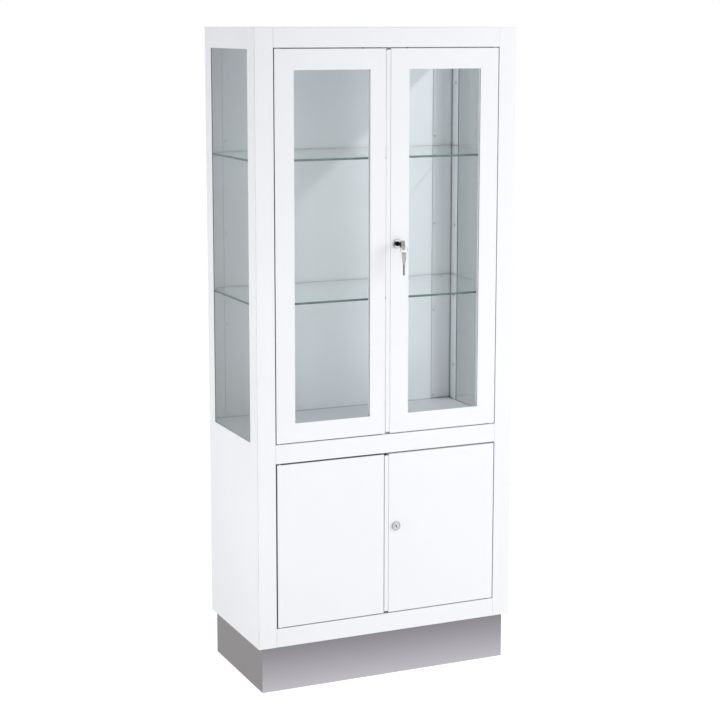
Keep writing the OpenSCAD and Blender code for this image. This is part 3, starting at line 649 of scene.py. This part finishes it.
def setParts(node, groups, finish, turn=0.0):
    # groups: a part's mesh with its (place, facing, stretch) list
    whole = bmesh.new()
    for part, places in groups:
        points = bpy.data.meshes.new("places")
        points.from_pydata([place for place, _, _ in places], [], [])
        points.attributes.new("facing", "FLOAT_VECTOR", "POINT")
        points.attributes.new("stretch", "FLOAT", "POINT")
        for i, (_, way, length) in enumerate(places):
            points.attributes["facing"].data[i].vector = way
            points.attributes["stretch"].data[i].value = length
        tool = newPiece("partToSet", part)
        whole.from_mesh(grow(setTree, points, {"Part": tool, "Turn": turn, "Seed": turnSeed,
                                               "Finish": finishes[finish]}))
        bpy.data.objects.remove(tool)
    mesh = smoothMesh(whole, node)
    mesh.materials.append(finishes[finish])
    mount(newPiece(node + "_piece", mesh), node)


def facingAlong(axis, up):
    way = Vector((0, 0, 0))
    way[axis] = 1 if up else -1
    return way


def endPlaces(node, axis, sunk, facesUp, keep=lambda size: True):
    # where a part starts on its sheet, for solids that lie along one axis
    places = []
    for low, high, _ in islandsOf(node):
        if not keep(high - low):
            continue
        place = (low + high) / 2
        up = facesUp(place)
        place[axis] = low[axis] + sunk * mm if up else high[axis] - sunk * mm
        places.append((place, facingAlong(axis, up), 1.0))
    return places


setTree = makeSetTree()

screwLook = {"headRadius": 3.6, "headHeight": 2.0, "edge": 0.25, "recess": (0.75, 3.7, 1.15),
             "shankRadius": 2.0, "shankSteps": 16, "threads": 9, "threadDepth": 0.25,
             "threadsOn": (-0.97, 0.9), "point": 0.4, "sizeWithin": 0.06, "endWithin": 0.1,
             "headFrom": 2.8}


def makeScrews(look=screwLook):
    r, h, edge = look["headRadius"], look["headHeight"], look["edge"]
    head = turned([(0, 0), (r - edge, 0), (r, edge), (r, h * 0.42), (r - edge, h * 0.68),
                   (r - 0.9, h * 0.88), (r - 2.1, h * 0.98), (0, h)], "screwHead")
    wide, long, deep = look["recess"]
    cross = [prism([(-b / 2, h - deep), (b / 2, h - deep), (b / 2, h + 1), (-b / 2, h + 1)],
                   -a / 2, a / 2, "recess") for a, b in ((wide, long), (long, wide))]
    headMesh = takeMesh(carve(newPiece("screwHead", head), cross))
    # the shank is 1 mm long and stretched to its screw's length
    s, (threadStart, threadLength) = look["shankRadius"], look["threadsOn"]
    ridges = [(s - look["threadDepth"] * (i % 2),
               threadStart + i / (2 * look["threads"]) * threadLength)
              for i in range(2 * look["threads"] + 1)]
    shank = turned([(0, -1), (s - look["point"], -1)] + ridges + [(s, 0), (0, 0)], "screwShank",
                   steps=look["shankSteps"])
    heads, shanks = [], []
    for low, high, points in islandsOf("body_screws"):
        size, mid = high - low, (low + high) / 2
        axis = next(a for a in range(3)
                    if all(abs(size[i] - 2 * r * mm) < look["sizeWithin"] * mm
                           for i in range(3) if i != a))
        # the head is at the upper end if that end is broader than the shank
        top = [point for point in points if high[axis] - point[axis] < look["endWithin"] * mm]
        reach = max((point - mid).length_squared - (point[axis] - mid[axis]) ** 2
                    for point in top)
        up = reach > (look["headFrom"] * mm) ** 2
        place, way = mid.copy(), facingAlong(axis, up)
        place[axis] = high[axis] - h * mm if up else low[axis] + h * mm
        heads.append((place, way, 1.0))
        shanks.append((place, way, size[axis] / mm - h))
    setParts("body_screws", [(headMesh, heads), (shank, shanks)], "zincSteel", turn=math.pi)


pinLook = {"radius": 3.0, "length": 20.0, "collar": (4.5, 1.5), "stub": (2.0, 1.2),
           "sleeve": 4.0, "play": 0.01, "edge": 0.3, "end": (0.4, 0.6)}


def makeShelfPins(look=pinLook):
    r, length, edge = look["radius"], look["length"], look["edge"]
    (collarR, collarT), (stubR, stubL) = look["collar"], look["stub"]
    endR, endL = look["end"]
    pin = turned([(0, -stubL), (stubR - edge, -stubL), (stubR, edge - stubL), (stubR, 0),
                  (collarR - edge, 0), (collarR, edge), (collarR, collarT - edge),
                  (collarR - edge, collarT), (r, collarT), (r, length - endL),
                  (r - endR, length), (0, length)], "shelfPin")
    bore, s = r + look["play"], look["sleeve"]
    sleeve = turned([(bore, collarT + 0.1), (s - edge, collarT), (s, collarT + edge),
                     (s, length - 0.4), (s - edge, length), (bore, length)], "shelfSleeve",
                    closed=True)
    for node, part, sunk, finish in (("shelf_pins", pin, stubL, "zincSteel"),
                                     ("shelf_sleeves", sleeve, -collarT, "whiteNylon")):
        places = endPlaces(node, 1, sunk, lambda mid: mid.y < 0)
        setParts(node, [(part, places)], finish)


bufferLook = {"radius": 3.0, "length": 5.5,
              "dome": ((0, 1.6), (0.25, 0.9), (0.9, 0.35), (1.9, 0.08))}


def makeBuffers(look=bufferLook):
    r, length = look["radius"], look["length"]
    dome = [(r - inward, length - below) for inward, below in look["dome"]]
    buffer = turned([(0, 0), (r, 0)] + dome + [(0, length)], "doorBuffer")
    setParts("door_buffers", [(buffer, endPlaces("door_buffers", 1, 0, lambda mid: False))],
             "sealRubber")


pivotLook = {"radius": 2.0, "head": (3.2, 2.0), "sheet": 1.2, "reach": 11.0,
             "shoulder": (3.45, 1.9), "headEdge": 0.3, "shoulderEdge": 0.15, "end": (0.4, 0.6),
             "headWithin": 1.025}


def makePivots(look=pivotLook):
    r, reach, sheet = look["radius"], look["reach"], look["sheet"]
    (headR, headT), (wide, high) = look["head"], look["shoulder"]
    edge, step, (endR, endL) = look["headEdge"], look["shoulderEdge"], look["end"]
    foot = [(0, -sheet - headT), (headR - edge, -sheet - headT), (headR, edge - sheet - headT),
            (headR, -sheet), (r, -sheet), (r, 0)]
    shoulder = [(wide - step, 0), (wide, step), (wide, high - step), (wide - step, high), (r, high)]
    tip = [(r, reach - endL), (r - endR, reach), (0, reach)]
    kinds = []
    # the pins that stand up carry a shoulder, so that the door rests on it
    for profile, standing in ((foot + shoulder + tip, True), (foot + tip, False)):
        places = endPlaces("pivot_pins", 2, sheet + headT, lambda mid: standing,
                           lambda size: (size.x > 2 * look["headWithin"] * headR * mm) == standing)
        kinds.append((turned(profile, "pivotPin"), places))
    setParts("pivot_pins", kinds, "zincSteel")


bushLook = {"bore": 2.05, "radius": 3.45, "flange": (4.85, 1.0), "length": 9.0, "edge": 0.2,
            "flangeEdge": 0.25, "end": (0.35, 0.4),
            "doors": ("upper_left", "upper_right", "lower_left", "lower_right")}


def makeBushes(look=bushLook):
    bore, r, length, edge = (look[k] for k in ("bore", "radius", "length", "edge"))
    (wide, thick), (endR, endL), bend = look["flange"], look["end"], look["flangeEdge"]
    bush = turned([(bore, -thick + edge), (bore + edge, -thick), (wide - bend, -thick),
                   (wide, bend - thick), (wide, -edge), (wide - edge, 0), (r, 0),
                   (r, length - endL), (r - endR, length), (bore + edge, length),
                   (bore, length - edge)], "doorBush", closed=True)
    for door in look["doors"]:
        node = door + "_door_bushes"
        low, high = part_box(node)
        middle = (low.z + high.z) / 2
        setParts(node, [(bush, endPlaces(node, 2, thick, lambda mid: mid.z < middle))],
                 "whiteNylon")


makeScrews()
makeShelfPins()
makeBuffers()
makePivots()
makeBushes()
print("cabinet: screws, pins, buffers and bushes set by geometry nodes")


# locks, keys and the split ring

# rim and groove: (outward, back) from the face ring's edge and from the barrel's radius
barrelLook = {"bore": 7.06, "boreEdge": 0.3, "faceRadius": 14.5, "faceHeight": 4.5,
              "radius": 9.5, "back": 24.0, "threadDepth": 0.3, "threadStep": 0.5,
              "groove": ((-0.1, 0), (0.1, 0.25), (0.4, 0.25), (0.6, 0)),
              "rim": ((-2.7, 0), (-1.8, 0.45), (-1.0, 1.35), (-0.4, 2.6), (-0.1, 3.7), (0, 4.1)),
              "steps": 48, "sharp": 40}


def makeBarrel(node, look=barrelLook):
    bore, f, h, r, back = (look[k] for k in ("bore", "faceRadius", "faceHeight", "radius", "back"))
    mouth = [(bore, look["boreEdge"] - h), (bore + look["boreEdge"], -h)]
    groove = [(r + outward, inward - h) for outward, inward in look["groove"]]
    rim = [(f + outward, inward - h) for outward, inward in look["rim"]]
    threads = [(r - look["threadDepth"] * (i % 2), 1 + i * look["threadStep"])
               for i in range(int(back / look["threadStep"]) - 2)]
    barrel = turned(mouth + groove + rim + [(f, 0), (r, 0)] + threads + [(r, back), (bore, back)],
                    node, look["steps"], closed=True, sharp=look["sharp"])
    low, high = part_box(node)
    face = Vector(((low.x + high.x) / 2, low.y + h * mm, (low.z + high.z) / 2))
    barrel.transform(Matrix.Translation(face) @ Matrix.Rotation(-math.pi / 2, 4, "X"))
    barrel.materials.append(finishes["lockChrome"])
    mount(newPiece(node + "_piece", barrel), node)


# in mm from the ring's hole; the blade starts at root and ends at tip
keyLook = {"holeFromEnd": 5.5, "bowLength": 33.5, "bladeLength": 32.0, "halfThick": 1.1,
           "panelDepth": 0.28, "panelHalf": (8.5, 4), "panelFrom": (-5.5, -10), "panelAbove": 5,
           "grooveDepth": 0.55, "grooves": ((-1.4, 0.4), (0.9, 2.4)), "grooveAbove": 2,
           "tipCut": (5, 1.2, 3.2), "past": 1, "edge": 0.18, "edgeFrom": 40}


def makeKey(node, finish, lying, look=keyLook):
    # the key's own blank, with a sunk panel in the bow and a groove down each side of the blade
    low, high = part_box(node)
    mid = (low + high) / 2
    end = look["holeFromEnd"] * mm
    if lying:
        place = (Matrix.Translation((mid.x, low.y + end, mid.z))
                 @ Matrix.Rotation(math.pi / 2, 4, "X"))
    else:
        place = Matrix.Translation((mid.x, mid.y, high.z - end))
    root = look["holeFromEnd"] - look["bowLength"]
    tip = root - look["bladeLength"]
    t, past = look["halfThick"], look["past"]
    (wide, neck), (top, shoulder) = look["panelHalf"], look["panelFrom"]
    foot, start = root + look["panelAbove"], root + look["grooveAbove"]
    panel = [(-wide, top), (wide, top), (wide, shoulder), (neck, foot), (-neck, foot),
             (-wide, shoulder)]
    cutOut, cutIn, cutUp = look["tipCut"]
    cutters = [prism(panel, side * (t - look["panelDepth"]), side * (t + past), "panel", place)
               for side in (-1, 1)]
    for side, (a, b) in zip((-1, 1), look["grooves"]):
        groove = [(a, start), (b, start), (b, tip - past), (a, tip - past)]
        cutters.append(prism(groove, side * (t - look["grooveDepth"]), side * (t + past),
                             "groove", place))
    for side in (-1, 1):
        corner = [(side * cutOut, tip - past), (side * cutIn, tip - past),
                  (side * cutOut, tip + cutUp)]
        cutters.append(prism(corner, -t - past, t + past, "corner", place))
    mesh = meshFrom(copyOf(node), node)
    mesh.materials.append(finishes[finish])
    obj = carve(newPiece(node + "_piece", mesh), cutters)
    obj.data.shade_smooth()
    bevel = obj.modifiers.new("edges", "BEVEL")
    bevel.limit_method = "ANGLE"
    bevel.angle_limit = math.radians(look["edgeFrom"])
    bevel.width = look["edge"] * mm
    bevel.segments = 2
    keepFlats(obj)
    mount(settle(obj), node)


ringLook = {"inputs": {"Ring radius": 11.2 * mm, "Wire radius": 0.44 * mm,
                       "Half step": 0.45 * mm, "Crank": 0.035},
            "turns": 1.94, "steps": 64, "wireSides": 10, "startsAt": 200}


def makeRingTree(look=ringLook):
    # a wire that runs round twice and steps over to its second turn half way
    tree, start, end = startTree("splitRing", {label: ("Float", value)
                                               for label, value in look["inputs"].items()})
    path = addNode(tree, "GeometryNodeCurveSpiral", {"Resolution": look["steps"],
                                                     "Rotations": look["turns"], "Height": 0.0})
    tree.links.new(start.outputs["Ring radius"], path.inputs["Start Radius"])
    tree.links.new(start.outputs["Ring radius"], path.inputs["End Radius"])
    along = addNode(tree, "GeometryNodeSplineParameter")
    rise = addNode(tree, "ShaderNodeMapRange", interpolation_type="SMOOTHSTEP")
    crank, halfStep = start.outputs["Crank"], start.outputs["Half step"]
    for output, socket in ((along.outputs["Factor"], "Value"),
                           (reckon(tree, "SUBTRACT", 0.5, crank), "From Min"),
                           (reckon(tree, "ADD", 0.5, crank), "From Max"),
                           (reckon(tree, "MULTIPLY", halfStep, -1.0), "To Min"),
                           (halfStep, "To Max")):
        tree.links.new(output, rise.inputs[socket])
    offset = addNode(tree, "ShaderNodeCombineXYZ")
    tree.links.new(rise.outputs[0], offset.inputs["Z"])
    moved = addNode(tree, "GeometryNodeSetPosition")
    tree.links.new(path.outputs["Curve"], moved.inputs["Geometry"])
    tree.links.new(offset.outputs[0], moved.inputs["Offset"])
    wire = addNode(tree, "GeometryNodeCurvePrimitiveCircle", {"Resolution": look["wireSides"]})
    tree.links.new(start.outputs["Wire radius"], wire.inputs["Radius"])
    tube = addNode(tree, "GeometryNodeCurveToMesh", {"Fill Caps": True})
    tree.links.new(moved.outputs[0], tube.inputs["Curve"])
    tree.links.new(wire.outputs[0], tube.inputs["Profile Curve"])
    return endTree(tree, start, end, tube.outputs[0])


def makeSplitRing(look=ringLook):
    coil = grow(makeRingTree(), bpy.data.meshes.new("coil"),
                {**look["inputs"], "Finish": finishes["lockChrome"]})
    low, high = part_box("key_ring")
    coil.transform(Matrix.Translation((low + high) / 2) @ Matrix.Rotation(math.pi / 2, 4, "X")
                   @ Matrix.Rotation(math.radians(look["startsAt"]), 4, "Z"))
    bm = bmesh.new()
    bm.from_mesh(coil)
    bmesh.ops.recalc_face_normals(bm, faces=bm.faces)
    mesh = smoothMesh(bm, "key_ring")
    mesh.materials.append(finishes["lockChrome"])
    mount(newPiece("key_ring_piece", mesh), "key_ring")


makeBarrel("upper_lock_barrel")
makeBarrel("lower_lock_barrel")
makeKey("door_key", "lockedKey", True)
makeKey("spare_key", "spareKey", False)
makeSplitRing()
print("cabinet: locks, keys and split ring made")


# floor, world, lamps and camera

throughPanes = (0.39, 0.42, 0.43)  # the room's grey, seen through the panes

floorLook = {"size": 30.0, "colour": (0.86, 0.86, 0.86), "roughness": 0.9, "whiteShare": 0.64,
             "mirrored": (0.0, 0.60), "mirroredFrom": (-0.60, -0.159), "frontEdge": -0.149,
             "mirroredFar": 0.30, "mirroredBeside": 0.15, "besideColour": (1.0, 0.99, 0.93)}


def makeFloor(look=floorLook):
    half = look["size"] / 2
    mesh = bpy.data.meshes.new("studioFloor")
    mesh.from_pydata([(-half, -half, 0), (half, -half, 0), (half, half, 0), (-half, half, 0)], [],
                     [(0, 1, 2, 3)])
    floor = newPiece("studioFloor", mesh)
    mat, tree, shader = startMaterial("studioFloorPaper")
    shader.inputs["Base Color"].default_value = (*look["colour"], 1)
    shader.inputs["Roughness"].default_value = look["roughness"]
    shader.inputs["Emission Color"].default_value = (1, 1, 1, 1)
    ray = addNode(tree, "ShaderNodeLightPath")
    tree.links.new(reckon(tree, "MULTIPLY", ray.outputs["Is Camera Ray"], look["whiteShare"]),
                   shader.inputs["Emission Strength"])
    # mirrored in the plinth, the floor is bright close in front of it and greyer elsewhere
    depth = placeAlong(tree, "Y")
    near = between(tree, depth, *look["mirrored"], *look["mirroredFrom"])
    front = reckon(tree, "LESS_THAN", depth, look["frontEdge"])
    base = between(tree, front, look["mirroredFar"] + look["mirroredBeside"],
                   look["mirroredFar"], 0.0, 1.0)
    mirrored = addNode(tree, "ShaderNodeEmission")
    tree.links.new(mixColours(tree, front, look["besideColour"], (1, 1, 1)),
                   mirrored.inputs["Color"])
    tree.links.new(reckon(tree, "MULTIPLY_ADD", near, front, base), mirrored.inputs["Strength"])
    panes = addNode(tree, "ShaderNodeEmission", {"Color": (*throughPanes, 1)})
    surface = shader.outputs[0]
    for rays, other in (("Is Glossy Ray", mirrored), ("Is Transmission Ray", panes)):
        surface = mixShaders(tree, ray.outputs[rays], surface, other.outputs[0])
    setSurface(tree, surface)
    mat.cycles.emission_sampling = "NONE"  # it glows only to the camera and in mirrored rays
    mesh.materials.append(mat)


cardLook = {"low": (0.12, -0.75, 0.05), "high": (0.47, -0.75, 1.5), "strength": 0.70,
            "lights": ("upper_lock_barrel", "upper_lock_plug", "lower_lock_barrel",
                       "lower_lock_plug", "door_key", "key_ring", "spare_key")}


def lightOnly(obj, nodes):
    lit = bpy.data.collections.new(obj.name + "Lights")
    for node in nodes:
        lit.objects.link(bpy.data.objects[node + "_piece"])
    obj.light_linking.receiver_collection = lit


def makeCard(look=cardLook):
    # a pale card that only the locks and keys mirror
    (x0, y, z0), (x1, _, z1) = look["low"], look["high"]
    mesh = bpy.data.meshes.new("paleCard")
    mesh.from_pydata([(x0, y, z0), (x1, y, z0), (x1, y, z1), (x0, y, z1)], [], [(3, 2, 1, 0)])
    card = newPiece("paleCard", mesh)
    mat, tree, _ = startMaterial("paleCardPaper")
    glow = addNode(tree, "ShaderNodeEmission", {"Strength": look["strength"]})
    clear = addNode(tree, "ShaderNodeBsdfTransparent")
    both = addNode(tree, "ShaderNodeAddShader")
    tree.links.new(glow.outputs[0], both.inputs[0])
    tree.links.new(clear.outputs[0], both.inputs[1])
    setSurface(tree, both.outputs[0])
    mat.cycles.emission_sampling = "NONE"
    mesh.materials.append(mat)
    for kind in ("camera", "diffuse", "transmission", "volume_scatter", "shadow"):
        setattr(card, "visible_" + kind, False)
    lightOnly(card, look["lights"])


worldLook = {"colour": (0.95, 0.965, 1.0), "strength": 0.50, "mirrored": (0.52, 0.53, 0.56)}


def makeWorld(look=worldLook):
    # white to the camera, grey through the panes, soft light for everything else
    world = bpy.data.worlds.new("studioWorld")
    scene.world = world
    world.use_nodes = True
    tree = world.node_tree
    tree.nodes.clear()
    ray = addNode(tree, "ShaderNodeLightPath")
    shader = addNode(tree, "ShaderNodeBackground", {"Color": (*look["colour"], 1),
                                                    "Strength": look["strength"]})
    surface = shader.outputs[0]
    for rays, colour in (("Is Glossy Ray", look["mirrored"]),
                         ("Is Transmission Ray", throughPanes),
                         ("Is Camera Ray", (1, 1, 1))):
        ground = addNode(tree, "ShaderNodeBackground", {"Color": (*colour, 1), "Strength": 1.0})
        surface = mixShaders(tree, ray.outputs[rays], surface, ground.outputs[0])
    out = addNode(tree, "ShaderNodeOutputWorld")
    tree.links.new(surface, out.inputs["Surface"])


# the window lamp stands for daylight that only reaches the inside
lamps = {"lowFrontLamp": {"at": (0.05, -2.4, 0.4), "to": (0, -0.17, 0.9), "size": 1.4,
                          "power": 20.5},
         "highRightLamp": {"at": (2.25, -1.75, 2.2), "to": (0.2, -0.17, 1.2), "size": 1.4,
                           "power": 34.0},
         "sideLamp": {"at": (-3.0, -0.15, 0.35), "to": (-0.4, 0, 0.6), "size": 2.0,
                      "power": 53.0},
         "windowLamp": {"at": (1.9, -1.1, 3.149), "to": (0.3, 0.15, 1.5), "size": 0.14,
                        "power": 33.0, "lights": ("back_panel", "upper_glass_shelf",
                                                  "lower_glass_shelf")}}


def makeLamp(name, look):
    data = bpy.data.lights.new(name, "AREA")
    data.shape = "SQUARE"
    data.size = look["size"]
    data.energy = look["power"]
    lamp = bpy.data.objects.new(name, data)
    scene.collection.objects.link(lamp)
    lamp.location = look["at"]
    aim = Vector(look["to"]) - Vector(look["at"])
    lamp.rotation_euler = aim.to_track_quat("-Z", "Y").to_euler()
    for kind in ("camera", "glossy", "transmission"):
        setattr(lamp, "visible_" + kind, False)
    if "lights" in look:
        lightOnly(lamp, look["lights"])


cameraLook = {"at": (-2.12304, -4.72288, 1.88223), "yaw": 24.160, "down": 9.119, "roll": -0.065,
              "focalPixels": 1794.13, "centre": (362.07, 312.36), "imageSize": 720,
              "sensor": 36.0, "farthest": 100.0}


def makeCamera(look=cameraLook):
    yaw, down, roll = (math.radians(look[k]) for k in ("yaw", "down", "roll"))
    ahead = Vector((math.sin(yaw) * math.cos(down), math.cos(yaw) * math.cos(down),
                    -math.sin(down)))
    level = Vector((math.cos(yaw), -math.sin(yaw), 0))
    below = ahead.cross(level)
    right = level * math.cos(roll) + below * math.sin(roll)
    up = level * math.sin(roll) - below * math.cos(roll)
    data = bpy.data.cameras.new("photoCamera")
    camera = bpy.data.objects.new("photoCamera", data)
    scene.collection.objects.link(camera)
    camera.matrix_world = Matrix((right, up, -ahead)).transposed().to_4x4()
    camera.location = look["at"]
    size = look["imageSize"]
    data.sensor_width = look["sensor"]
    data.lens = look["focalPixels"] / size * look["sensor"]
    data.shift_x = -(look["centre"][0] - size / 2) / size
    data.shift_y = (look["centre"][1] - size / 2) / size
    data.clip_end = look["farthest"]
    scene.camera = camera


makeFloor()
makeCard()
makeWorld()
for name, look in lamps.items():
    makeLamp(name, look)
makeCamera()
scene.view_settings.view_transform = "Standard"
print("cabinet: stage, lamps and camera set")
